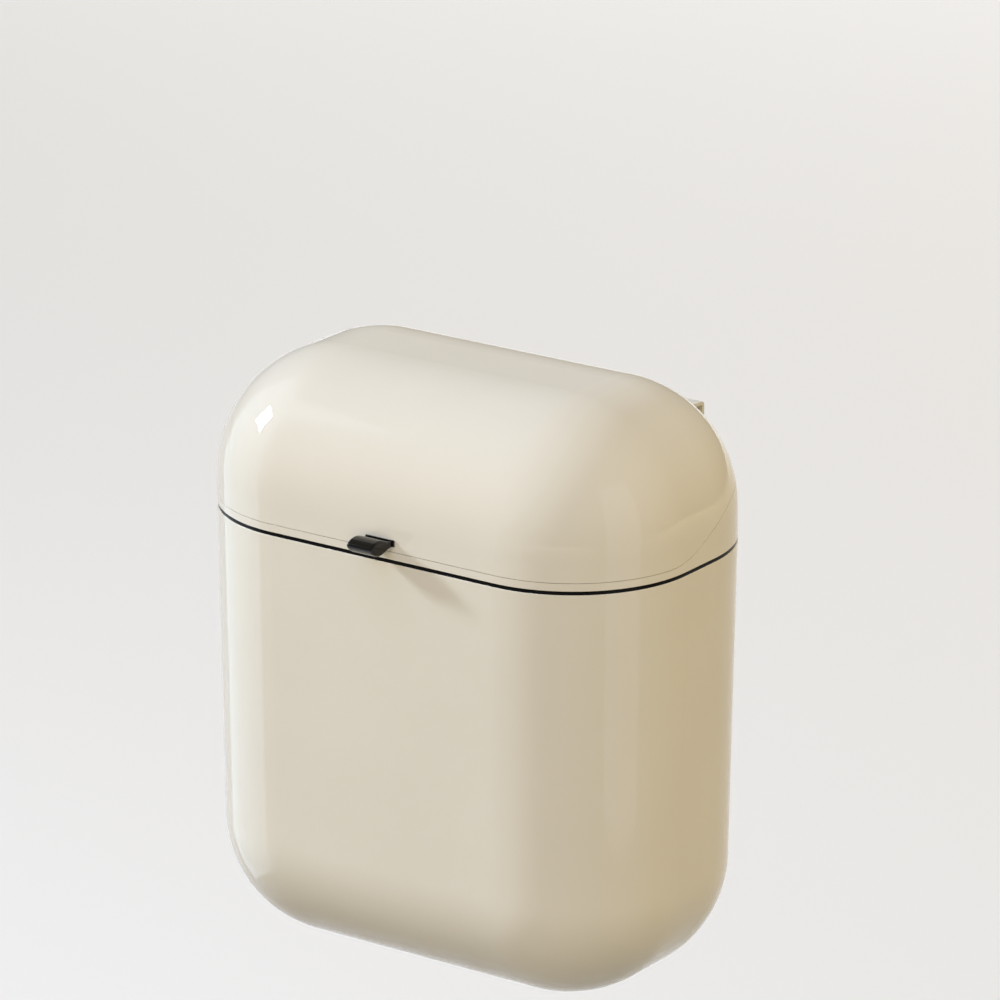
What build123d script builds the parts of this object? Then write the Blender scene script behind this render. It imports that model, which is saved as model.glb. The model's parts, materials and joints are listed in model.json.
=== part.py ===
from build123d import *

import math
import os

# Domed kitchen waste can that hangs on a cabinet door from a hook plate.
# Millimetres. X runs along the door, Y into the door, Z up.
# The origin is on the door's face, midway between the hook plate's two screw holes.

# The can's outside
can_width = 300.0
can_depth = 180.0
corner_radius = 75.0
body_height = 256.0
lid_height = 91.0
body_draft = 0.9
lid_draft = 0.45
round_margin = 1.0
body_wall = 2.5
lid_wall = 2.5
seam_gap = 2.1
edge_round = 0.4

# Lid frame, the band between the seam and the lid, which rises at the sides to meet the hinge
lid_gap = 0.3
frame_front_height = 5.7
frame_back_height = 32.0
frame_rise_start = 62.0
frame_rise_length = 84.0
frame_flange = 1.5

# Where the can hangs
door_thickness = 18.0
door_gap = 16.0
door_top_above_seam = 45.5
door_top_above_screws = 30.0

# Clearances
seat_gap = 0.3
running_gap = 0.07
fixed_gap = 0.03
side_gap = 0.4

# Rim ring, the black line at the seam
ring_inset = 0.4
ring_fit = 0.4
ring_wall = 1.8
ring_depth = 14.0
ring_edge_round = 0.3
ledge_thickness = 2.0

# Lift-out bucket
bucket_lip = 2.0
bucket_lip_clearance = 0.5
bucket_ledge_clearance = 1.0
bucket_foot_clearance = 14.5
bucket_wall = 1.8
bucket_inset = 12.0
bucket_draft = 1.4
bucket_round_margin = 3.5
finger_length = 62.0
finger_width = 3.6

# Bag ring, hinged on the bucket's lip
bag_ring_inset = 8.0
bag_flange = 2.0
bag_skirt_clearance = 1.8
bag_skirt_wall = 1.8
bag_skirt_depth = 14.0
bag_bar_radius = 2.3
bag_bar_half_length = 38.2
bag_pin_radius = 1.5
bag_pin_length = 4.8
bag_bar_lift = 1.5
bag_ear_wall = 1.2
bag_ear_thickness = 4.0
lift_tab_width = 34.0
lift_tab_length = 11.0

# Lid hinge
hinge_height = 50.0
hinge_inset = 1.0
hinge_spacing = 120.0
hinge_pin_radius = 2.5
knuckle_radius = 5.2
knuckle_width = 14.0
lug_width = 6.0
lug_web = 9.0
lug_sink = 1.5
post_thickness = 3.5
post_foot_width = 24.0
post_foot_height = 40.0
post_foot_drop = 11.0
post_stand_off = 0.5
post_rib_width = 2.0
post_rib_depth = 3.0
clip_thickness = 0.8
clip_radius = 4.4
clip_gap = 0.2

# Pull tab on the front of the lid
tab_width = 17.2
tab_reach = 20.4
tab_tail_bottom = 9.0
tab_tail_top = 12.3
tab_crest = 15.5
tab_crest_reach = 12.8
tab_nose = 11.9
tab_belly = 6.5
tab_belly_reach = 12.0
tab_flange_width = 19.2
tab_flange_top = 12.8
tab_flange_thickness = 1.2
tab_plate_width = 27.0
tab_plate_height = 9.0
tab_plate_thickness = 2.0
tab_plate_corner = 2.5
tab_screw_spacing = 10.0

# Hook plate over the door
plate_thickness = 2.0
plate_width = 136.0
plate_lower_width = 104.0
plate_shoulder_drop = 42.0
plate_corner = 6.0
bend_inside = 1.2
lip_bend_share = 0.45
lip_drop = 28.0
door_clearance = 0.4
pad_thickness = 1.0
pad_width = 32.0
pad_height = 18.0
pad_rise = 1.0
pad_corner = 3.5
pad_spacing = 88.0
wall_screw_spacing = 100.0
wall_screw_hole = 2.25
hang_depth = 20.0

# Hanger rail on the can's back
rail_side_gap = 5.0
rail_thickness = 2.0
rail_top_drop = 12.0
rail_drop = 62.0
rail_corner = 5.0
back_pad_margin = 4.0

# Screws
screw_radius = 1.6
screw_bite = 7.0
screw_head_radius = 3.4
screw_head = 2.1
crown_share = 0.45
screw_hole_gap = 0.15
boss_wall = 2.0
boss_depth = 6.0
rail_screw_spacing = 60.0
rail_screw_drop = 32.0
rail_screw_rise = 28.0
post_screw_rise = 18.0
tab_screw_radius = 0.9
tab_screw_length = 9.0
tab_screw_head_radius = 1.8
tab_screw_head = 1.2

# Feet that keep the can upright against the door
foot_drop = 160.0
foot_inset = 75.0
foot_base_radius = 11.0
foot_tip_radius = 8.0
foot_pad_thickness = 2.0
foot_pad_chamfer = 0.6
foot_pad_rim = 1.0
foot_seat = 0.4
foot_tip_wall = 4.0

# Places worked out from the sizes above
door_top_z = door_top_above_screws
seam_z = door_top_z - door_top_above_seam
can_y = -(door_gap + can_depth / 2)
back_y = -door_gap
front_y = back_y - can_depth
lid_foot_z = seam_z + seam_gap / 2
body_top_z = seam_z - seam_gap / 2
body_slope = math.tan(math.radians(body_draft))
lid_slope = math.tan(math.radians(lid_draft))
bucket_slope = math.tan(math.radians(bucket_draft))
body_block_height = body_height - seam_gap / 2
lid_block_height = lid_height - seam_gap / 2
body_round = corner_radius - body_block_height * body_slope - round_margin
lid_round = corner_radius - lid_block_height * lid_slope - round_margin
ring_flange = seam_gap - seat_gap
ledge_z = body_top_z - ring_depth + ledge_thickness
lip_top_z = ledge_z + bucket_lip
bucket_floor_z = seam_z - body_height + body_wall + bucket_foot_clearance
bucket_depth = ledge_z - bucket_floor_z
bucket_round = corner_radius - bucket_inset - bucket_depth * bucket_slope - bucket_round_margin
bag_bottom_z = lip_top_z + seat_gap
bag_top_z = bag_bottom_z + bag_flange
ring_skirt_inset = body_wall + ring_fit
ring_mouth_inset = ring_skirt_inset + ring_wall
pivot_y = back_y - hinge_inset
pivot_z = seam_z + hinge_height
post_front_y = back_y + post_stand_off
post_back_y = post_front_y + post_thickness
bag_pivot_y = back_y - bag_ring_inset
bag_pivot_z = bag_top_z + bag_bar_lift


def across(y):
    """Plane square to Y at y, drawn with X to the right and Z up, its normal toward the can's front."""
    return Plane(origin=(0, y, 0), x_dir=(1, 0, 0), z_dir=(0, -1, 0))


def side(x):
    """Plane square to X at x, drawn with Y to the right and Z up."""
    return Plane(origin=(x, 0, 0), x_dir=(0, 1, 0), z_dir=(1, 0, 0))


def level(z, up=True):
    """Horizontal plane at z over the can's centre, facing up or down."""
    return Plane(origin=(0, can_y, z), x_dir=(1, 0, 0), z_dir=(0, 0, 1 if up else -1))


def corner_recess(x):
    """How far the can's rounded corner has drawn the back wall in at x."""
    into_corner = max(0.0, abs(x) - can_width / 2 + corner_radius)
    return corner_radius - math.sqrt(corner_radius**2 - into_corner**2)


def outline(inset, mode=Mode.ADD):
    """The can's plan outline at the seam, drawn in by inset."""
    RectangleRounded(can_width - 2 * inset, can_depth - 2 * inset, corner_radius - inset, mode=mode)


def band(plane, outer_inset, inner_inset, height, mode=Mode.ADD):
    """A band of the can's outline between two insets, standing on plane."""
    with BuildSketch(plane) as band_face:
        outline(outer_inset)
        outline(inner_inset, mode=Mode.SUBTRACT)
    extrude(band_face.sketch, amount=height, mode=mode)


def round_bar(start_x, length, y, z, radius, mode=Mode.ADD):
    """A round bar along X."""
    with BuildSketch(side(start_x)) as bar_face:
        with Locations((y, z)):
            Circle(radius)
    extrude(bar_face.sketch, amount=length, mode=mode)


def rounded_block(plane, inset, height, draft, rounding):
    """A block of the can's outline that tapers away from plane and ends in a rounded edge."""
    with BuildPart() as block:
        with BuildSketch(plane):
            outline(inset)
        extrude(amount=height, taper=draft)
        far_face = block.faces().sort_by(Axis(plane.origin, plane.z_dir))[-1]
        fillet(far_face.edges(), radius=rounding)
    return block.part


def pan_screws(places, facing, head_seat, shank, length, head_radius, head):
    """Screws along Y at the (x, z) places, heads toward +Y for facing 1 and toward -Y for facing -1."""
    with BuildPart() as screws:
        with BuildSketch(Plane(origin=(0, head_seat, 0), x_dir=(facing, 0, 0), z_dir=(0, -facing, 0))):
            with Locations(*[(facing * x, z) for x, z in places]):
                Circle(shank)
        extrude(amount=length)
        with BuildSketch(Plane(origin=(0, head_seat, 0), x_dir=(-facing, 0, 0), z_dir=(0, facing, 0))):
            with Locations(*[(-facing * x, z) for x, z in places]):
                Circle(head_radius)
        extrude(amount=head)
        crowns = screws.edges().filter_by(GeomType.CIRCLE).group_by(Axis.Y)[-1 if facing > 0 else 0]
        fillet(crowns, radius=head * crown_share)
    return screws.part


rail_screw_z = [seam_z - rail_screw_drop, seam_z - rail_screw_drop - rail_screw_rise]
rail_screw_places = [(x, z) for x in (-rail_screw_spacing / 2, rail_screw_spacing / 2) for z in rail_screw_z]
post_foot_z = seam_z - post_foot_drop - post_foot_height / 2
post_screw_z = [post_foot_z - post_screw_rise / 2, post_foot_z + post_screw_rise / 2]
post_screw_places = [(x, z) for x in (-hinge_spacing / 2, hinge_spacing / 2) for z in post_screw_z]
tab_wall_z = seam_z + (tab_tail_bottom + tab_tail_top) / 2
tab_screw_places = [(-tab_screw_spacing / 2, tab_wall_z), (tab_screw_spacing / 2, tab_wall_z)]
foot_z = seam_z - foot_drop
foot_place_x = can_width / 2 - foot_inset
foot_places = [(-foot_place_x, foot_z), (foot_place_x, foot_z)]
foot_wall_y = back_y - foot_drop * body_slope
foot_seat_y = foot_wall_y + foot_seat
foot_pad_radius = foot_base_radius + foot_pad_rim
foot_pad_depth = body_wall + corner_recess(foot_place_x + foot_pad_radius)
foot_head_y = foot_wall_y - body_wall - screw_head_radius * body_slope - fixed_gap
foot_head_y -= corner_recess(foot_place_x + screw_head_radius)
foot_screw_end_y = -foot_pad_thickness - foot_tip_wall
rail_width = hinge_spacing - post_foot_width - 2 * rail_side_gap
back_pad_width = hinge_spacing + post_foot_width + 2 * back_pad_margin
back_pad_top_z = seam_z - post_foot_drop + back_pad_margin
back_pad_height = back_pad_top_z - seam_z + rail_top_drop + rail_drop + back_pad_margin

# Body shell
body_outer = rounded_block(level(body_top_z, up=False), 0, body_block_height, body_draft, body_round)
body_inner = rounded_block(
    level(body_top_z, up=False),
    body_wall,
    body_block_height - body_wall,
    body_draft,
    body_round - body_wall,
)
with BuildPart() as body_shell:
    add(body_outer)
    top_edges = body_shell.faces().sort_by(Axis.Z)[-1].edges()
    fillet(top_edges, radius=edge_round)
    with BuildSketch(across(post_front_y)):
        with Locations((0, back_pad_top_z - back_pad_height / 2)):
            RectangleRounded(back_pad_width, back_pad_height, rail_corner)
    extrude(amount=body_wall)
    with BuildSketch(across(foot_seat_y)):
        with Locations(*foot_places):
            Circle(foot_pad_radius)
    extrude(amount=foot_pad_depth)
    add(body_inner, mode=Mode.SUBTRACT)
    with BuildSketch(across(back_y - body_wall)):
        with Locations(*rail_screw_places, *post_screw_places):
            Circle(screw_radius + boss_wall)
    extrude(amount=boss_depth)
    with BuildSketch(across(post_front_y)):
        with Locations(*rail_screw_places, *post_screw_places):
            Circle(screw_radius + fixed_gap)
    extrude(amount=screw_bite + seat_gap, mode=Mode.SUBTRACT)
    with BuildSketch(across(foot_seat_y)):
        with Locations(*foot_places):
            Circle(screw_radius + screw_hole_gap)
    extrude(amount=foot_pad_depth + body_wall, mode=Mode.SUBTRACT)
body_shell.part.label = "body_shell"

# Rim ring that lines the body's mouth, with the ledge that carries the bucket
with BuildPart() as rim_ring:
    band(level(body_top_z), ring_inset, ring_mouth_inset, ring_flange)
    band(level(body_top_z, up=False), ring_skirt_inset, ring_mouth_inset, ring_depth)
    band(level(ledge_z, up=False), ring_skirt_inset, bucket_inset - bucket_ledge_clearance, ledge_thickness)
    rim_edges = rim_ring.faces().sort_by(Axis.Z)[-1].outer_wire().edges()
    fillet(rim_edges, radius=ring_edge_round)
rim_ring.part.label = "rim_ring"

# Lift-out bucket
lip_inset = ring_mouth_inset + bucket_lip_clearance
bucket_outer = rounded_block(level(ledge_z, up=False), bucket_inset, bucket_depth, bucket_draft, bucket_round)
bucket_inner = rounded_block(
    level(lip_top_z, up=False),
    bucket_inset + bucket_wall,
    bucket_depth + bucket_lip - bucket_wall,
    bucket_draft,
    bucket_round - bucket_wall,
)
ear_x = bag_bar_half_length + side_gap
ear_radius = bag_pin_radius + bag_ear_wall
with BuildPart() as inner_bucket:
    add(bucket_outer)
    with BuildSketch(level(ledge_z)):
        outline(lip_inset)
    extrude(amount=bucket_lip)
    add(bucket_inner, mode=Mode.SUBTRACT)
    finger_x = can_width / 2 - lip_inset
    with BuildSketch(level(ledge_z)):
        with Locations((-finger_x, 0), (finger_x, 0)):
            SlotOverall(finger_length, 2 * finger_width, rotation=90)
    extrude(amount=bucket_lip, mode=Mode.SUBTRACT)
    for ear_start in (ear_x, -ear_x - bag_ear_thickness):
        with BuildSketch(side(ear_start)):
            with Locations((bag_pivot_y, bag_pivot_z)):
                Circle(ear_radius)
            with Locations((bag_pivot_y, (bag_pivot_z + lip_top_z - bucket_lip / 2) / 2)):
                Rectangle(2 * ear_radius, bag_pivot_z - lip_top_z + bucket_lip / 2)
            with Locations((bag_pivot_y, bag_pivot_z)):
                Circle(bag_pin_radius + running_gap, mode=Mode.SUBTRACT)
        extrude(amount=bag_ear_thickness)
inner_bucket.part.label = "inner_bucket"

# Bag ring with its pivot bar at the back and a lift tab at the front
bag_mouth_inset = bucket_inset + bucket_wall + bag_skirt_clearance + bag_skirt_wall
notch_width = bag_ear_thickness + 2 * side_gap
notch_length = 2 * (ear_radius + 2 * side_gap)
notch_x = ear_x + bag_ear_thickness / 2
with BuildPart() as bag_ring:
    band(level(bag_bottom_z), bag_ring_inset, bag_mouth_inset, bag_flange)
    band(level(bag_bottom_z, up=False), bag_mouth_inset - bag_skirt_wall, bag_mouth_inset, bag_skirt_depth)
    with BuildSketch(level(bag_bottom_z)):
        with Locations((-notch_x, bag_pivot_y - can_y), (notch_x, bag_pivot_y - can_y)):
            Rectangle(notch_width, notch_length)
    extrude(amount=bag_flange, mode=Mode.SUBTRACT)
    round_bar(-bag_bar_half_length, 2 * bag_bar_half_length, bag_pivot_y, bag_pivot_z, bag_bar_radius)
    pin_start = -bag_bar_half_length - bag_pin_length
    round_bar(pin_start, -2 * pin_start, bag_pivot_y, bag_pivot_z, bag_pin_radius)
    tab_line = -can_depth / 2 + bag_mouth_inset - bag_skirt_wall / 2
    with BuildSketch(level(bag_bottom_z)):
        with Locations((0, tab_line)):
            SlotOverall(lift_tab_width, 2 * lift_tab_length)
            Rectangle(lift_tab_width, lift_tab_length, align=(Align.CENTER, Align.MAX), mode=Mode.SUBTRACT)
    extrude(amount=bag_flange)
bag_ring.part.label = "bag_ring"


def under_lid_line(rise):
    """Everything under the line where the lid meets its frame, with the line raised by rise."""
    low_z = lid_foot_z - lid_wall
    front_z = seam_z + frame_front_height + rise
    back_z = seam_z + frame_back_height + rise
    rise_start = (front_y + frame_rise_start, front_z)
    rise_end = (front_y + frame_rise_start + frame_rise_length, back_z)
    with BuildPart() as under:
        with BuildSketch(side(-can_width / 2 - lid_wall)):
            with BuildLine():
                Polyline(
                    rise_start,
                    (front_y - lid_wall, front_z),
                    (front_y - lid_wall, low_z),
                    (back_y + lid_wall, low_z),
                    (back_y + lid_wall, back_z),
                    rise_end,
                )
                Spline(rise_start, rise_end, tangents=((1, 0), (1, 0)))
            make_face()
        extrude(amount=can_width + 2 * lid_wall)
    return under.part


# Lid shell with the lugs that hold the hinge pins
lid_outer = rounded_block(level(lid_foot_z), 0, lid_block_height, lid_draft, lid_round)
lid_inner = rounded_block(
    level(lid_foot_z), lid_wall, lid_block_height - lid_wall, lid_draft, lid_round - lid_wall
)
dome_y = back_y - lid_round
dome_z = seam_z + lid_height - lid_round
lug_run = math.hypot(pivot_y - dome_y, pivot_z - dome_z) - lid_round + lug_sink
lug_angle = math.degrees(math.atan2(dome_z - pivot_z, dome_y - pivot_y))
lug_offset = (knuckle_width + lug_width) / 2 + side_gap
lug_middles = [s * hinge_spacing / 2 + t * lug_offset for s in (-1, 1) for t in (-1, 1)]
with BuildPart() as lid_shell:
    add(lid_outer)
    for lug_x in lug_middles:
        with BuildSketch(side(lug_x - lug_width / 2)):
            with Locations((pivot_y, pivot_z)):
                Circle(knuckle_radius)
                with Locations(Location((0, 0), lug_angle)):
                    Rectangle(lug_run, lug_web, align=(Align.MIN, Align.CENTER))
        extrude(amount=lug_width)
    add(lid_inner, mode=Mode.SUBTRACT)
    add(under_lid_line(lid_gap / 2), mode=Mode.SUBTRACT)
    round_bar(-can_width / 2, can_width, pivot_y, pivot_z, hinge_pin_radius + fixed_gap, mode=Mode.SUBTRACT)
    with BuildSketch(across(front_y + 2 * lid_wall)):
        with Locations((0, tab_wall_z)):
            Rectangle(tab_width + 2 * fixed_gap, tab_tail_top - tab_tail_bottom + 2 * fixed_gap)
    extrude(amount=3 * lid_wall, mode=Mode.SUBTRACT)
lid_shell.part.label = "lid_shell"

# Lid frame, fixed on the body's mouth under the lid
with BuildPart() as lid_frame:
    add(lid_outer)
    foot_edges = lid_frame.faces().sort_by(Axis.Z)[0].edges()
    fillet(foot_edges, radius=edge_round)
    add(lid_inner, mode=Mode.SUBTRACT)
    add(under_lid_line(-lid_gap / 2), mode=Mode.INTERSECT)
    band(level(lid_foot_z), lid_wall / 2, ring_mouth_inset, frame_flange)
lid_frame.part.label = "lid_frame"

# Hinge posts on the body's back
post_stem_height = pivot_z - post_foot_z
post_rib_bottom = post_foot_z + post_foot_height / 2
post_rib_top = pivot_z - knuckle_radius
rib_offset = (knuckle_width - post_rib_width) / 2
posts = []
for post_name, post_side in (("hinge_post_left", -1), ("hinge_post_right", 1)):
    post_x = post_side * hinge_spacing / 2
    own_screws = [place for place in post_screw_places if place[0] * post_side > 0]
    with BuildPart() as hinge_post:
        with BuildSketch(across(post_back_y)):
            with Locations((post_x, post_foot_z)):
                RectangleRounded(post_foot_width, post_foot_height, rail_corner)
            with Locations((post_x, post_foot_z + post_stem_height / 2)):
                Rectangle(knuckle_width, post_stem_height)
        extrude(amount=post_thickness)
        round_bar(post_x - knuckle_width / 2, knuckle_width, pivot_y, pivot_z, knuckle_radius)
        with BuildSketch(across(post_back_y + post_rib_depth)):
            rib_middle_z = (post_rib_bottom + post_rib_top) / 2
            with Locations((post_x - rib_offset, rib_middle_z), (post_x + rib_offset, rib_middle_z)):
                Rectangle(post_rib_width, post_rib_top - post_rib_bottom)
        extrude(amount=post_rib_depth)
        round_bar(
            post_x - knuckle_width / 2,
            knuckle_width,
            pivot_y,
            pivot_z,
            hinge_pin_radius + running_gap,
            mode=Mode.SUBTRACT,
        )
        with BuildSketch(across(post_back_y)):
            with Locations(*own_screws):
                Circle(screw_radius + screw_hole_gap)
        extrude(amount=post_thickness, mode=Mode.SUBTRACT)
    hinge_post.part.label = post_name
    posts.append(hinge_post.part)

# Hinge pins and their push-on clips
clip_offset = knuckle_width / 2 + side_gap + lug_width + clip_gap
pin_half_length = clip_offset + clip_thickness + clip_gap
pins = []
for pin_name, pin_side in (("hinge_pin_left", -1), ("hinge_pin_right", 1)):
    pin_x = pin_side * hinge_spacing / 2
    with BuildPart() as hinge_pin:
        round_bar(pin_x - pin_half_length, 2 * pin_half_length, pivot_y, pivot_z, hinge_pin_radius)
        chamfer(hinge_pin.edges().filter_by(GeomType.CIRCLE), length=clip_gap)
    hinge_pin.part.label = pin_name
    pins.append(hinge_pin.part)

with BuildPart() as pin_clips:
    for clip_side in (-1, 1):
        for clip_start in (clip_offset, -clip_offset - clip_thickness):
            with BuildSketch(side(clip_side * hinge_spacing / 2 + clip_start)):
                with Locations((pivot_y, pivot_z)):
                    Circle(clip_radius)
                    Circle(hinge_pin_radius + fixed_gap, mode=Mode.SUBTRACT)
            extrude(amount=clip_thickness)
pin_clips.part.label = "pin_clips"

# Pull tab: a teardrop that swells from a thin tail at the lid's wall
tab_root_y = front_y + lid_wall + lid_slope * (tab_tail_top + tab_plate_height)
top_of_tail = (front_y, seam_z + tab_tail_top)
end_of_tail = (front_y, seam_z + tab_tail_bottom)
crest = (front_y - tab_crest_reach, seam_z + tab_crest)
nose = (front_y - tab_reach, seam_z + tab_nose)
belly = (front_y - tab_belly_reach, seam_z + tab_belly)
with BuildPart() as pull_tab:
    with BuildSketch(side(-tab_width / 2)):
        with BuildLine():
            Polyline(
                end_of_tail,
                (tab_root_y, seam_z + tab_tail_bottom),
                (tab_root_y, seam_z + tab_tail_top),
                top_of_tail,
            )
            Spline(top_of_tail, crest, tangents=((-1, 0), (-1, 0)))
            Spline(crest, nose, tangents=((-1, 0), (-0.1, -1)), tangent_scalars=(1.1, 1.1))
            Spline(nose, belly, tangents=((-0.1, -1), (1, 0)), tangent_scalars=(1.1, 1.1))
            Spline(belly, end_of_tail, tangents=((1, 0), (1, 0)), tangent_scalars=(1.1, 0.9))
        make_face()
    extrude(amount=tab_width)
    with BuildSketch(across(front_y)):
        with Locations((0, seam_z + (tab_tail_bottom + tab_flange_top) / 2)):
            Rectangle(tab_flange_width, tab_flange_top - tab_tail_bottom)
    extrude(amount=tab_flange_thickness)
    with BuildSketch(across(tab_root_y)):
        with Locations(*tab_screw_places):
            Circle(tab_screw_radius + fixed_gap)
    extrude(amount=tab_screw_length, mode=Mode.SUBTRACT)
pull_tab.part.label = "pull_tab"

# Plate behind the lid's wall that the tab is screwed to
tab_plate_y = tab_root_y + tab_plate_thickness
with BuildPart() as tab_plate:
    with BuildSketch(across(tab_plate_y)):
        with Locations((0, tab_wall_z)):
            RectangleRounded(tab_plate_width, tab_plate_height, tab_plate_corner)
        with Locations(*tab_screw_places):
            Circle(tab_screw_radius + screw_hole_gap, mode=Mode.SUBTRACT)
    extrude(amount=tab_plate_thickness)
tab_plate.part.label = "tab_plate"

# Hook plate: over the door, down its face and up again into a hanging lip
channel = rail_thickness + 2 * seat_gap
lip_y = -plate_thickness - channel - plate_thickness / 2
rail_under_z = seam_z - rail_top_drop
lip_top_edge_z = rail_under_z - seat_gap
lip_bend_z = lip_top_edge_z - hang_depth - plate_thickness / 2
hook_back_y = door_thickness + door_clearance + pad_thickness + plate_thickness / 2
hook_top_z = door_top_z + plate_thickness / 2
shoulder_z = door_top_z - plate_shoulder_drop
shoulder_radius = min(plate_corner, 0.45 * (plate_width - plate_lower_width) / 2)
plate_bend = bend_inside + plate_thickness / 2
lip_bend = channel * lip_bend_share + plate_thickness / 2
with BuildPart() as hook_plate:
    with BuildSketch(side(-plate_width / 2)):
        with BuildLine():
            FilletPolyline(
                (hook_back_y, door_top_z - lip_drop),
                (hook_back_y, hook_top_z),
                (-plate_thickness / 2, hook_top_z),
                (-plate_thickness / 2, lip_bend_z),
                (lip_y, lip_bend_z),
                (lip_y, lip_top_edge_z),
                radius=[plate_bend, plate_bend, lip_bend, lip_bend],
            )
        trace(line_width=plate_thickness)
    extrude(amount=plate_width)
    with BuildSketch(across(hook_back_y + plate_thickness)):
        with BuildLine():
            plate_outline = FilletPolyline(
                (-plate_width / 2, hook_top_z + plate_thickness),
                (-plate_width / 2, shoulder_z),
                (-plate_lower_width / 2, shoulder_z),
                (-plate_lower_width / 2, lip_bend_z - plate_thickness / 2),
                (plate_lower_width / 2, lip_bend_z - plate_thickness / 2),
                (plate_lower_width / 2, shoulder_z),
                (plate_width / 2, shoulder_z),
                (plate_width / 2, hook_top_z + plate_thickness),
                radius=shoulder_radius,
            )
            Line(plate_outline @ 1, plate_outline @ 0)
        make_face()
    extrude(amount=hook_back_y + plate_thickness - lip_y + plate_thickness, mode=Mode.INTERSECT)
    lip_edges = hook_plate.faces().filter_by(Axis.Z).filter_by_position(
        Axis.Z, lip_top_edge_z - seat_gap, lip_top_edge_z + seat_gap
    ).edges().filter_by(Axis.X)
    fillet(lip_edges, radius=plate_thickness * lip_bend_share)
    with BuildSketch(across(0)):
        with Locations((-wall_screw_spacing / 2, 0), (wall_screw_spacing / 2, 0)):
            Circle(wall_screw_hole)
    extrude(amount=plate_thickness, mode=Mode.SUBTRACT)
hook_plate.part.label = "hook_plate"

# Rubber pads inside the hook
with BuildPart() as door_pads:
    pad_z = door_top_z - lip_drop + pad_height / 2 + pad_rise
    with BuildSketch(across(door_thickness + door_clearance + pad_thickness)):
        with Locations((-pad_spacing / 2, pad_z), (pad_spacing / 2, pad_z)):
            RectangleRounded(pad_width, pad_height, pad_corner)
    extrude(amount=pad_thickness)
door_pads.part.label = "door_pads"

# Hanger rail on the can's back, bent over the hook plate's lip
rail_front_y = post_front_y + rail_thickness / 2
rail_leg_y = -plate_thickness - seat_gap - rail_thickness / 2
rail_top_z = rail_under_z + rail_thickness / 2
with BuildPart() as hanger_rail:
    with BuildSketch(side(-rail_width / 2)):
        with BuildLine():
            FilletPolyline(
                (rail_front_y, rail_top_z - rail_drop),
                (rail_front_y, rail_top_z),
                (rail_leg_y, rail_top_z),
                (rail_leg_y, rail_under_z - hang_depth + seat_gap),
                radius=bend_inside + rail_thickness / 2,
            )
        trace(line_width=rail_thickness)
    extrude(amount=rail_width)
    low_corners = hanger_rail.edges().filter_by(Axis.Y).group_by(Axis.Z)[0]
    fillet(low_corners, radius=rail_corner)
    with BuildSketch(across(post_front_y + rail_thickness)):
        with Locations(*rail_screw_places):
            Circle(screw_radius + screw_hole_gap)
    extrude(amount=rail_thickness, mode=Mode.SUBTRACT)
hanger_rail.part.label = "hanger_rail"

# Feet low on the can's back, with rubber tips that touch the door
with BuildPart() as wall_feet:
    for foot_x, foot_height in foot_places:
        with BuildSketch(across(foot_seat_y)):
            with Locations((foot_x, foot_height)):
                Circle(foot_base_radius)
        with BuildSketch(across(-foot_pad_thickness)):
            with Locations((foot_x, foot_height)):
                Circle(foot_tip_radius)
        loft()
    with BuildSketch(across(foot_screw_end_y + seat_gap)):
        with Locations(*foot_places):
            Circle(screw_radius + fixed_gap)
    extrude(amount=foot_screw_end_y + seat_gap - foot_seat_y, mode=Mode.SUBTRACT)
wall_feet.part.label = "wall_feet"

with BuildPart() as foot_pads:
    with BuildSketch(across(0)):
        with Locations(*foot_places):
            Circle(foot_tip_radius)
    extrude(amount=foot_pad_thickness)
    pad_rims = foot_pads.faces().sort_by(Axis.Y)[-2:].edges()
    chamfer(pad_rims, length=foot_pad_chamfer)
foot_pads.part.label = "foot_pads"

# Screws
rail_screws = pan_screws(
    rail_screw_places,
    1,
    post_front_y + rail_thickness,
    screw_radius,
    rail_thickness + screw_bite,
    screw_head_radius,
    screw_head,
)
rail_screws.label = "rail_screws"
post_screws = pan_screws(
    post_screw_places,
    1,
    post_back_y,
    screw_radius,
    post_thickness + screw_bite,
    screw_head_radius,
    screw_head,
)
post_screws.label = "post_screws"
foot_screws = pan_screws(
    foot_places,
    -1,
    foot_head_y,
    screw_radius,
    foot_screw_end_y - foot_head_y,
    screw_head_radius,
    screw_head,
)
foot_screws.label = "foot_screws"
tab_screws = pan_screws(
    tab_screw_places,
    1,
    tab_plate_y,
    tab_screw_radius,
    tab_screw_length,
    tab_screw_head_radius,
    tab_screw_head,
)
tab_screws.label = "tab_screws"

pieces = [
    hook_plate.part,
    door_pads.part,
    body_shell.part,
    rim_ring.part,
    inner_bucket.part,
    hanger_rail.part,
    rail_screws,
    *posts,
    post_screws,
    wall_feet.part,
    foot_pads.part,
    foot_screws,
    bag_ring.part,
    lid_shell.part,
    lid_frame.part,
    *pins,
    pin_clips.part,
    pull_tab.part,
    tab_plate.part,
    tab_screws,
]
os.makedirs("parts", exist_ok=True)
for piece in pieces:
    export_step(piece, f"parts/{piece.label}.step")
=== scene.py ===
import json
import math

import bmesh
import bpy
from mathutils import Matrix, Vector
from mathutils.geometry import interpolate_bezier


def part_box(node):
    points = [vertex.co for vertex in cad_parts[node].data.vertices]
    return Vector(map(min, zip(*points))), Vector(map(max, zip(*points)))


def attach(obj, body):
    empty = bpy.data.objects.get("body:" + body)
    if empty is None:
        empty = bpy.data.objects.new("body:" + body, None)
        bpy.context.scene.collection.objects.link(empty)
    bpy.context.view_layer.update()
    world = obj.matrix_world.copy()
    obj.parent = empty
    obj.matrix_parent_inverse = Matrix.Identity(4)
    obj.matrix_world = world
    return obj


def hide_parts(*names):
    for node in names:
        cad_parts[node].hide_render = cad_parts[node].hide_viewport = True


# Domed kitchen waste can that hangs from a hook plate. Metres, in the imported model's frame:
# X runs along the door, Y into the door, Z up.

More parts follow.
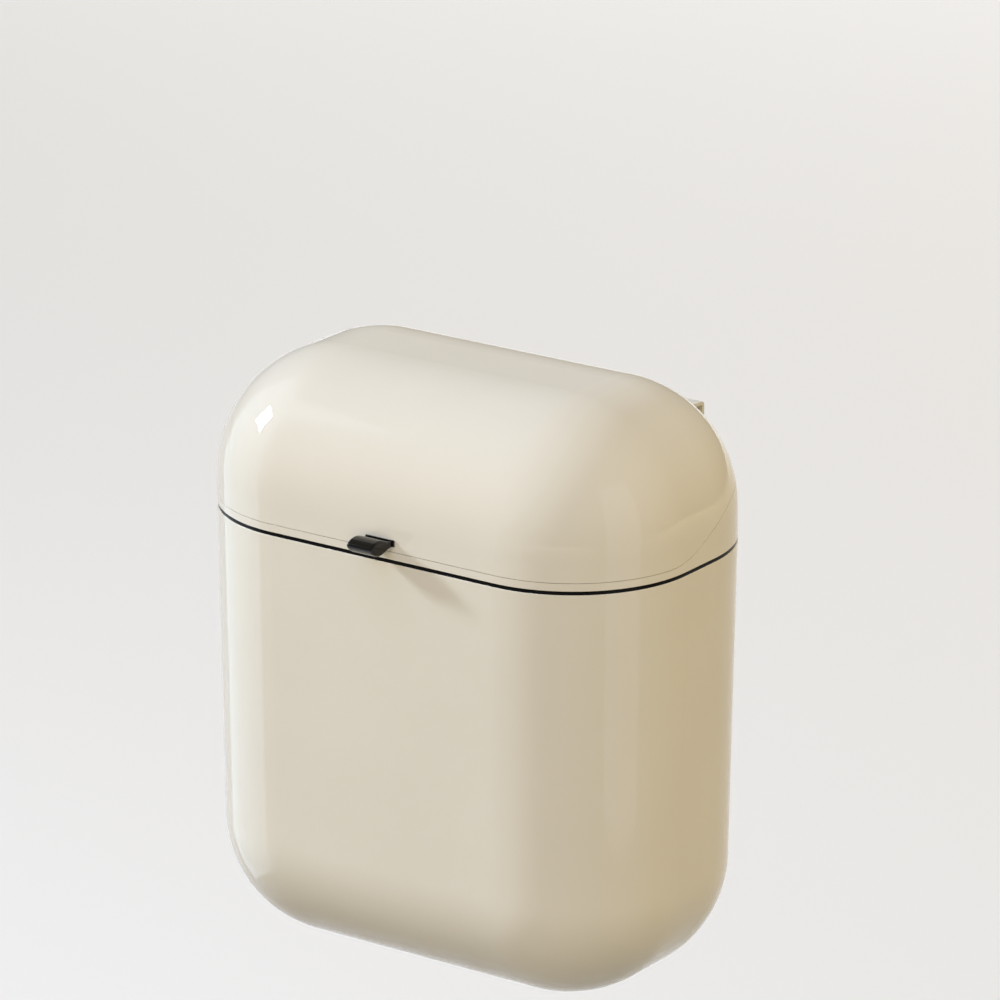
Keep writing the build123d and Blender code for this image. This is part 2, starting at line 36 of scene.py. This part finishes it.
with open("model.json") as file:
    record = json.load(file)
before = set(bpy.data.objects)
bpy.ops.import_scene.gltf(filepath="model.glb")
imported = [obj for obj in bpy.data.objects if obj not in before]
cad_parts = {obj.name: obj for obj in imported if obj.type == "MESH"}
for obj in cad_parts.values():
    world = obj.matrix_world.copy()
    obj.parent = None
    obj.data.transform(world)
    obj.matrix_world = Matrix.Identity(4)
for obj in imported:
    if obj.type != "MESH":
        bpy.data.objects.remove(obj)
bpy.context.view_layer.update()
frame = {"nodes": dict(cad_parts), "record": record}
nodes = frame["nodes"]

mm = 0.001

# The can's place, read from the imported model
rim_low, rim_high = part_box("rim_ring")
body_low, body_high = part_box("body_shell")
lid_frame_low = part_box("lid_frame")[0]
seam_z = (body_high.z + lid_frame_low.z) / 2
front_y = lid_frame_low.y
can_centre = Vector(((rim_low.x + rim_high.x) / 2, (rim_low.y + rim_high.y) / 2, seam_z))


# Camera

view_azimuth = math.radians(34.96)
view_elevation = math.radians(18.45)
view_roll = math.radians(0.11)
view_distance = 3.686
view_right = 13.6 * mm
view_up = 9.2 * mm
lens_length = 238.3
sensor_width = 36.0


def make_camera():
    """A long lens that looks down on the can from its front right, aimed near the middle of the seam."""
    forward = Vector((
        -math.sin(view_azimuth) * math.cos(view_elevation),
        math.cos(view_azimuth) * math.cos(view_elevation),
        -math.sin(view_elevation),
    ))
    level_right = Vector((math.cos(view_azimuth), math.sin(view_azimuth), 0))
    level_up = level_right.cross(forward)
    right = level_right * math.cos(view_roll) + level_up * math.sin(view_roll)
    up = level_up * math.cos(view_roll) - level_right * math.sin(view_roll)
    place = can_centre + right * view_right + up * view_up - forward * view_distance
    camera = bpy.data.objects.new("camera", bpy.data.cameras.new("camera"))
    bpy.context.scene.collection.objects.link(camera)
    camera.matrix_world = Matrix((right, up, -forward)).transposed().to_4x4()
    camera.location = place
    camera.data.sensor_width = sensor_width
    camera.data.lens = lens_length
    camera.data.clip_start = 0.05
    camera.data.clip_end = 100.0
    bpy.context.scene.camera = camera


# Light and floor. A lamp's azimuth is 0 at the can's front and 90 at its right, in degrees.

floor_clear = 0.58
floor_size = 60.0
floor_shown_colour = (0.90, 0.89, 0.87)
floor_bounce_colour = (0.09, 0.078, 0.05)
floor_roughness = 0.7
ambient_colour = (0.31, 0.28, 0.22)

# Points on the can from which the panels are placed
left_edge = Vector((-0.098, -0.186, -0.2))
left_shoulder = Vector((-0.091, -0.180, 0.044))
right_edge = Vector((0.135, -0.16, -0.1))

# Name, point it is seen from, azimuths, elevations, distance, radiance, lights matte, is mirrored
panel_lamps = [
    ("left_panel", left_edge, (-105, -49), (-43, 60), 0.65, (0.65, 0.85, 0.98), False, True),
    ("key_mirrored", left_shoulder, (-78.8, -65), (20.6, 33.1), 3.0, (47.0, 53.0, 65.0), False, True),
    ("key", left_shoulder, (-71, -63), (24.5, 31.5), 3.0, (129.0, 144.0, 171.0), True, False),
    ("right_panel", right_edge, (63, 95), (-42, 44), 1.6, (0.50, 0.50, 0.62), False, True),
]

# Wide round lamps far off: name, azimuth, elevation, radiance
fill_distance = 8.0
fill_spread = 25.0
fill_lamps = [
    ("front_fill", 20, 10, (2.84, 2.56, 2.02)),
    ("top_fill", 0, 60, (0.40, 0.66, 1.32)),
    ("back_fill", 130, 20, (2.03, 1.64, 0.92)),
    ("rear_fill", -155, 15, (1.95, 2.05, 2.25)),
]


def area_lamp(name, shape, place, out, width, height, radiance, matte, mirrored):
    """A lamp that faces back along out. It lights what is matte, shows in what is glossy, or both."""
    brightest = max(radiance)
    data = bpy.data.lights.new(name, "AREA")
    data.shape = shape
    data.size = width
    if shape == "RECTANGLE":
        data.size_y = height
        area = width * height
    else:
        area = math.pi * width * width / 4
    data.energy = brightest * math.pi * area
    data.color = [part / brightest for part in radiance]
    lamp = bpy.data.objects.new(name, data)
    bpy.context.scene.collection.objects.link(lamp)
    lamp.location = place
    lamp.rotation_mode = "QUATERNION"
    lamp.rotation_quaternion = (-out).to_track_quat("-Z", "Y")
    lamp.visible_camera = False
    lamp.visible_diffuse = matte
    lamp.visible_glossy = mirrored


def panel(name, seen_from, azimuths, elevations, distance, radiance, matte, mirrored):
    """An upright panel that fills the given azimuths and elevations, seen from a point."""
    middle = math.radians(sum(azimuths) / 2)
    half_turn = math.radians(azimuths[1] - azimuths[0]) / 2
    low, high = (distance * math.tan(math.radians(e)) for e in elevations)
    out = Vector((math.sin(middle), -math.cos(middle), 0))
    place = seen_from + out * distance + Vector((0, 0, (low + high) / 2))
    width = 2 * distance * math.tan(half_turn)
    area_lamp(name, "RECTANGLE", place, out, width, high - low, radiance, matte, mirrored)


def fill(name, azimuth, elevation, radiance):
    """A round lamp aimed at the can, which leaves no mirror image."""
    turn, rise = math.radians(azimuth), math.radians(elevation)
    out = Vector((math.sin(turn) * math.cos(rise), -math.cos(turn) * math.cos(rise), math.sin(rise)))
    width = 2 * fill_distance * math.tan(math.radians(fill_spread))
    area_lamp(name, "DISK", can_centre + out * fill_distance, out, width, width, radiance, True, False)


def make_lights():
    """A tall cool panel mirrored at the left, a small bright key within it, and warm and cool fills."""
    for row in panel_lamps:
        panel(*row)
    for row in fill_lamps:
        fill(*row)


def make_world():
    """Even warm light from all round."""
    world = bpy.data.worlds.new("studio")
    world.use_nodes = True
    background = world.node_tree.nodes["Background"]
    background.inputs["Color"].default_value = (*ambient_colour, 1)
    background.inputs["Strength"].default_value = 1.0
    bpy.context.scene.world = world


def make_floor():
    """A wide pale floor well below the can, which hangs. It throws back less light than it shows."""
    half = floor_size / 2
    z = body_low.z - floor_clear
    mesh = bpy.data.meshes.new("floor")
    corners = [(-half, -half, z), (half, -half, z), (half, half, z), (-half, half, z)]
    mesh.from_pydata(corners, [], [(0, 1, 2, 3)])
    floor = bpy.data.objects.new("floor", mesh)
    bpy.context.scene.collection.objects.link(floor)
    material, tree, shader = node_material("floor_pale")
    path = tree.nodes.new("ShaderNodeLightPath")
    seen = path.outputs["Is Camera Ray"]
    for other in ("Is Glossy Ray", "Is Transmission Ray"):
        either = tree.nodes.new("ShaderNodeMath")
        either.operation = "MAXIMUM"
        tree.links.new(seen, either.inputs[0])
        tree.links.new(path.outputs[other], either.inputs[1])
        seen = either.outputs["Value"]
    colour = mix_colours(tree, seen, floor_bounce_colour, floor_shown_colour)
    tree.links.new(colour, shader.inputs["Base Color"])
    shader.inputs["Roughness"].default_value = floor_roughness
    mesh.materials.append(material)


# Materials. Noise scales are in cycles per metre.

tone_scale = 14
gloss_scale = 45
peel_scale = 1400
wave_scale = 16
steel_tone_scale = 60
steel_gloss_scale = 500
steel_grain_scale = 2200
steel_grain_depth = 8e-6
steel_dark = (0.50, 0.51, 0.52)
steel_light = (0.66, 0.66, 0.65)


def node_material(name):
    """A new material with its node tree and Principled shader."""
    material = bpy.data.materials.new(name)
    material.use_nodes = True
    tree = material.node_tree
    return material, tree, tree.nodes["Principled BSDF"]


def noise(tree, scale, detail=2.0, roughness=0.5):
    """Noise in the object's own coordinates."""
    place = tree.nodes.new("ShaderNodeTexCoord")
    texture = tree.nodes.new("ShaderNodeTexNoise")
    texture.inputs["Scale"].default_value = scale
    texture.inputs["Detail"].default_value = detail
    texture.inputs["Roughness"].default_value = roughness
    tree.links.new(place.outputs["Object"], texture.inputs["Vector"])
    return texture.outputs["Fac"]


def ramp(tree, value, low, high, start, end):
    """Maps value from low..high to start..end, clamped."""
    node = tree.nodes.new("ShaderNodeMapRange")
    for socket, number in (("From Min", low), ("From Max", high), ("To Min", start), ("To Max", end)):
        node.inputs[socket].default_value = number
    tree.links.new(value, node.inputs["Value"])
    return node.outputs["Result"]


def mix_colours(tree, share, first, second):
    """A colour between first and second, by share."""
    node = tree.nodes.new("ShaderNodeMix")
    node.data_type = "RGBA"
    node.inputs["A"].default_value = (*first, 1)
    node.inputs["B"].default_value = (*second, 1)
    tree.links.new(share, node.inputs["Factor"])
    return node.outputs["Result"]


def bump(tree, shader, height, depth, before=None):
    """Adds bump of the given depth in metres, on top of an earlier bump."""
    node = tree.nodes.new("ShaderNodeBump")
    node.inputs["Distance"].default_value = depth
    tree.links.new(height, node.inputs["Height"])
    if before:
        tree.links.new(before, node.inputs["Normal"])
    tree.links.new(node.outputs["Normal"], shader.inputs["Normal"])
    return node.outputs["Normal"]


def moulded_plastic(name, first, second, roughness, peel, wave=0.0, refraction=1.5):
    """Moulded plastic: two close tones, uneven gloss, a fine peel and slow waves in the surface."""
    material, tree, shader = node_material(name)
    tone = ramp(tree, noise(tree, tone_scale, 3), 0.35, 0.65, 0, 1)
    tree.links.new(mix_colours(tree, tone, first, second), shader.inputs["Base Color"])
    gloss = ramp(tree, noise(tree, gloss_scale, 4, 0.6), 0.3, 0.7, roughness * 0.8, roughness * 1.25)
    tree.links.new(gloss, shader.inputs["Roughness"])
    shader.inputs["IOR"].default_value = refraction
    normal = bump(tree, shader, noise(tree, peel_scale, 3, 0.6), peel)
    if wave:
        bump(tree, shader, noise(tree, wave_scale, 1), wave, normal)
    return material


def plated_steel(name):
    """Zinc-plated steel with fine rolling marks."""
    material, tree, shader = node_material(name)
    tone = ramp(tree, noise(tree, steel_tone_scale, 4, 0.6), 0.3, 0.7, 0, 1)
    colour = mix_colours(tree, tone, steel_dark, steel_light)
    tree.links.new(colour, shader.inputs["Base Color"])
    shader.inputs["Metallic"].default_value = 1.0
    gloss = ramp(tree, noise(tree, steel_gloss_scale, 3), 0.3, 0.7, 0.28, 0.42)
    tree.links.new(gloss, shader.inputs["Roughness"])
    bump(tree, shader, noise(tree, steel_grain_scale, 2), steel_grain_depth)
    return material


def make_materials():
    """One material for each slot of the record."""
    return {
        "cream_plastic": moulded_plastic(
            "cream_plastic", (0.792, 0.737, 0.622), (0.808, 0.753, 0.638), 0.04, 1.2e-6, 6e-6
        ),
        "black_gloss": moulded_plastic(
            "black_gloss", (0.0010, 0.0010, 0.0010), (0.0016, 0.0016, 0.0016), 0.12, 2e-6, refraction=1.18
        ),
        "black_satin": moulded_plastic(
            "black_satin", (0.003, 0.003, 0.003), (0.005, 0.005, 0.005), 0.08, 2e-6, refraction=1.4
        ),
        "grey_plastic": moulded_plastic(
            "grey_plastic", (0.40, 0.40, 0.39), (0.43, 0.43, 0.42), 0.42, 1.2e-5
        ),
        "cream_steel": moulded_plastic(
            "cream_steel", (0.78, 0.73, 0.62), (0.80, 0.75, 0.64), 0.30, 1.5e-5
        ),
        "zinc_steel": plated_steel("zinc_steel"),
        "rubber": moulded_plastic("rubber", (0.030, 0.030, 0.030), (0.045, 0.045, 0.044), 0.70, 2.5e-5),
    }


def dress_nodes(materials):
    """Gives every CAD node that shows the material of its slot."""
    for part in frame["record"]["subparts"]:
        node = nodes[part["node"]]
        node.data.materials.clear()
        node.data.materials.append(materials[part["material_slot"]])


# Softened edges on the CAD nodes that have crisp ones

flat_weight = 100
weld_reach = 0.002 * mm
crisp_angle = math.radians(46)
edge_widths = {
    "hook_plate": 0.35 * mm,
    "door_pads": 0.3 * mm,
    "hanger_rail": 0.35 * mm,
    "hinge_post_left": 0.4 * mm,
    "hinge_post_right": 0.4 * mm,
    "wall_feet": 0.4 * mm,
    "foot_pads": 0.2 * mm,
    "inner_bucket": 0.4 * mm,
    "bag_ring": 0.25 * mm,
    "tab_plate": 0.2 * mm,
    "hinge_pin_left": 0.1 * mm,
    "hinge_pin_right": 0.1 * mm,
    "pin_clips": 0.12 * mm,
}


def soften_edges(node, width):
    """Rounds a CAD node's crisp edges with modifiers, on its own faces."""
    weld = node.modifiers.new("joined_faces", "WELD")
    weld.merge_threshold = weld_reach
    rounding = node.modifiers.new("rounded_edges", "BEVEL")
    rounding.width = width
    rounding.segments = 2
    rounding.limit_method = "ANGLE"
    rounding.angle_limit = crisp_angle
    flat = node.modifiers.new("flat_faces", "WEIGHTED_NORMAL")
    flat.weight = flat_weight


# New pieces


def mesh_object(name, bm):
    """A plain object made from bm, in the scene."""
    mesh = bpy.data.meshes.new(name)
    bm.to_mesh(mesh)
    bm.free()
    made = bpy.data.objects.new(name, mesh)
    bpy.context.scene.collection.objects.link(made)
    return made


def new_piece(name, bm, material, body):
    """A smooth-shaded piece from bm, with flat faces kept flat, that rides on a body."""
    bmesh.ops.recalc_face_normals(bm, faces=bm.faces)
    piece = mesh_object(name, bm)
    piece.data.shade_smooth()
    piece.data.materials.append(material)
    flat = piece.modifiers.new("flat_faces", "WEIGHTED_NORMAL")
    flat.keep_sharp = True
    flat.weight = flat_weight
    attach(piece, body)
    return piece


# Screws with a cross recess, with the radii and heights of the CAD screws

screw_turns = 32
recess_length_share = 1.1
recess_width_share = 0.3
recess_depth_share = 0.62
recess_taper = 0.7
crown_share = 0.45
crown_steps = 5
tip_share = 0.35

# Node, body, shank radius, head radius, head height, and 1 where the head faces +Y
screw_kinds = [
    ("rail_screws", "can", 1.6 * mm, 3.4 * mm, 2.1 * mm, 1),
    ("post_screws", "can", 1.6 * mm, 3.4 * mm, 2.1 * mm, 1),
    ("foot_screws", "can", 1.6 * mm, 3.4 * mm, 2.1 * mm, -1),
    ("tab_screws", "lid", 0.9 * mm, 1.8 * mm, 1.2 * mm, 1),
]


def turned_solid(bm, profile):
    """Adds to bm the closed solid that a profile of radii and heights sweeps round Z."""
    loops = []
    for radius, height in profile[1:-1]:
        loop = []
        for step in range(screw_turns):
            turn = 2 * math.pi * step / screw_turns
            loop.append(bm.verts.new((radius * math.cos(turn), radius * math.sin(turn), height)))
        loops.append(loop)
    for low, high in zip(loops, loops[1:]):
        for i in range(screw_turns):
            j = (i + 1) % screw_turns
            bm.faces.new((low[i], low[j], high[j], high[i]))
    for loop, height in ((loops[0], profile[0][1]), (loops[-1], profile[-1][1])):
        tip = bm.verts.new((0, 0, height))
        for i in range(screw_turns):
            bm.faces.new((loop[i], loop[(i + 1) % screw_turns], tip))
    bmesh.ops.recalc_face_normals(bm, faces=bm.faces)


def recess_cutter(head_radius, head):
    """Two crossed blocks that narrow toward the bottom of the recess."""
    long_side = head_radius * recess_length_share
    short_side = head_radius * recess_width_share
    depth = head * recess_depth_share
    bm = bmesh.new()
    for x_size, y_size in ((long_side, short_side), (short_side, long_side)):
        block = bmesh.ops.create_cube(bm, size=1.0)["verts"]
        for vert in block:
            above = vert.co.z > 0
            narrow = 1.0 if above else recess_taper
            z = head + depth if above else head - depth
            vert.co = Vector((vert.co.x * x_size * narrow, vert.co.y * y_size * narrow, z))
    return mesh_object("recess_cutter", bm)


def screw_mesh(shank, length, head_radius, head):
    """One screw along Z with its head's seat at height 0."""
    crown = head * crown_share
    profile = [(0, -length), (shank * tip_share, -length), (shank, -length + shank)]
    profile += [(shank, 0), (head_radius, 0)]
    for step in range(crown_steps + 1):
        turn = math.pi / 2 * step / crown_steps
        profile.append((head_radius - crown * (1 - math.cos(turn)), head - crown * (1 - math.sin(turn))))
    profile.append((0, head))
    bm = bmesh.new()
    turned_solid(bm, profile)
    blank = mesh_object("screw_blank", bm)
    cutter = recess_cutter(head_radius, head)
    cut = blank.modifiers.new("recess", "BOOLEAN")
    cut.operation = "DIFFERENCE"
    cut.object = cutter
    cut.use_self = True
    evaluated = blank.evaluated_get(bpy.context.evaluated_depsgraph_get())
    mesh = bpy.data.meshes.new_from_object(evaluated)
    for helper in (blank, cutter):
        bpy.data.objects.remove(helper)
    return mesh


def make_screws(material):
    """Every screw of each CAD group, at the corners of the group's box, in one row or two."""
    for node, body, shank, head_radius, head, facing in screw_kinds:
        low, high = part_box(node)
        one = screw_mesh(shank, high.y - low.y - head, head_radius, head)
        seat = high.y - head if facing > 0 else low.y + head
        rows = {round(low.z + head_radius, 6), round(high.z - head_radius, 6)}
        facing_turn = Matrix.Rotation(-math.pi / 2 * facing, 4, "X")
        bm = bmesh.new()
        for x in (low.x + head_radius, high.x - head_radius):
            for z in sorted(rows):
                placed = one.copy()
                placed.transform(Matrix.Translation((x, seat, z)) @ facing_turn)
                bm.from_mesh(placed)
                bpy.data.meshes.remove(placed)
        screws = new_piece(node + "_crossed", bm, material, body)
        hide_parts(node)


# Pull tab, a rounded teardrop on a thin flange

tab_half_width = 8.6 * mm
tab_root = -3.3 * mm
tab_tail_top = 12.3 * mm
tab_tail_bottom = 9.0 * mm
tab_cheek_round = 1.4 * mm
tab_cheek_reach = 4 * mm
tab_stem_round = 0.2 * mm
tab_flange_half_width = 9.6 * mm
tab_flange_top = 12.8 * mm
tab_flange_thickness = 1.2 * mm
tab_flange_round = 0.35 * mm
tab_flange_round_steps = 3
tab_flange_gap = 0.05 * mm
tab_curve_steps = 18
tab_round_steps = 7

# The outline's curves, with points out from the lid's front and up from the seam in millimetres
tab_curves = [
    ((0, 12.3), (4.8, 12.3), (8.0, 15.5), (12.8, 15.5)),
    ((12.8, 15.5), (16.6, 15.5), (20.5, 13.8), (20.4, 11.9)),
    ((20.4, 11.9), (20.2, 10.1), (16.0, 6.5), (12.0, 6.5)),
    ((12.0, 6.5), (8.0, 6.5), (3.8, 9.0), (0, 9.0)),
]


def tab_profile():
    """The closed outline of the tab from the side, with the stem that goes through the lid's wall."""
    points = []
    for start, first, second, end in tab_curves:
        knots = [Vector((out, up, 0)) * mm for out, up in (start, first, second, end)]
        points += interpolate_bezier(*knots, tab_curve_steps)[:-1]
    points.append(Vector((0, tab_tail_bottom, 0)))
    points.append(Vector((tab_root, tab_tail_bottom, 0)))
    points.append(Vector((tab_root, tab_tail_top, 0)))
    return points


def inward(points, i):
    """Unit direction into a clockwise outline at its point i."""
    along = (points[(i + 1) % len(points)] - points[i]).normalized()
    along += (points[i] - points[i - 1]).normalized()
    along.normalize()
    return Vector((along.y, -along.x, 0))


def cheek_round(out):
    """Radius of the cheek's rounding, which is small on the stem and full on the teardrop."""
    share = min(1.0, max(0.0, out / tab_cheek_reach))
    return tab_stem_round + (tab_cheek_round - tab_stem_round) * share * share * (3 - 2 * share)


def rounded_box(bm, low, high, radius, steps):
    """Adds a box with rounded edges to bm."""
    box = bmesh.ops.create_cube(bm, size=1.0)["verts"]
    size = high - low
    middle = (low + high) / 2
    for vert in box:
        vert.co = middle + Vector((vert.co.x * size.x, vert.co.y * size.y, vert.co.z * size.z))
    edges = list({edge for vert in box for edge in vert.link_edges})
    bmesh.ops.bevel(bm, geom=edges, offset=radius, segments=steps, profile=0.5, affect="EDGES")


def make_pull_tab(material):
    """The teardrop with rounded cheeks, its stem and its flange."""
    outline = tab_profile()
    corner = math.pi / 2 / tab_round_steps
    rings = [(-1, step * corner) for step in range(tab_round_steps, -1, -1)]
    rings += [(1, step * corner) for step in range(tab_round_steps + 1)]
    bm = bmesh.new()
    loops = []
    for way, turn in rings:
        loop = []
        for i, point in enumerate(outline):
            radius = cheek_round(point.x)
            place = point + inward(outline, i) * radius * (1 - math.cos(turn))
            x = way * (tab_half_width - radius + radius * math.sin(turn))
            loop.append(bm.verts.new((can_centre.x + x, front_y - place.x, seam_z + place.y)))
        loops.append(loop)
    count = len(outline)
    for near, far in zip(loops, loops[1:]):
        for i in range(count):
            bm.faces.new((near[i], near[(i + 1) % count], far[(i + 1) % count], far[i]))
    bm.faces.new(loops[0])
    bm.faces.new(loops[-1])
    left, right = can_centre.x - tab_flange_half_width, can_centre.x + tab_flange_half_width
    low = Vector((left, front_y - tab_flange_thickness, seam_z + tab_tail_bottom))
    high = Vector((right, front_y - tab_flange_gap, seam_z + tab_flange_top))
    rounded_box(bm, low, high, tab_flange_round, tab_flange_round_steps)
    tab = new_piece("pull_tab_moulding", bm, material, "lid")
    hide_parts("pull_tab")


# The whole scene

make_camera()
make_lights()
make_world()
make_floor()
materials = make_materials()
dress_nodes(materials)
for name, width in edge_widths.items():
    soften_edges(nodes[name], width)
make_pull_tab(materials["black_satin"])
make_screws(materials["zinc_steel"])

bpy.context.scene.view_settings.view_transform = "Standard"
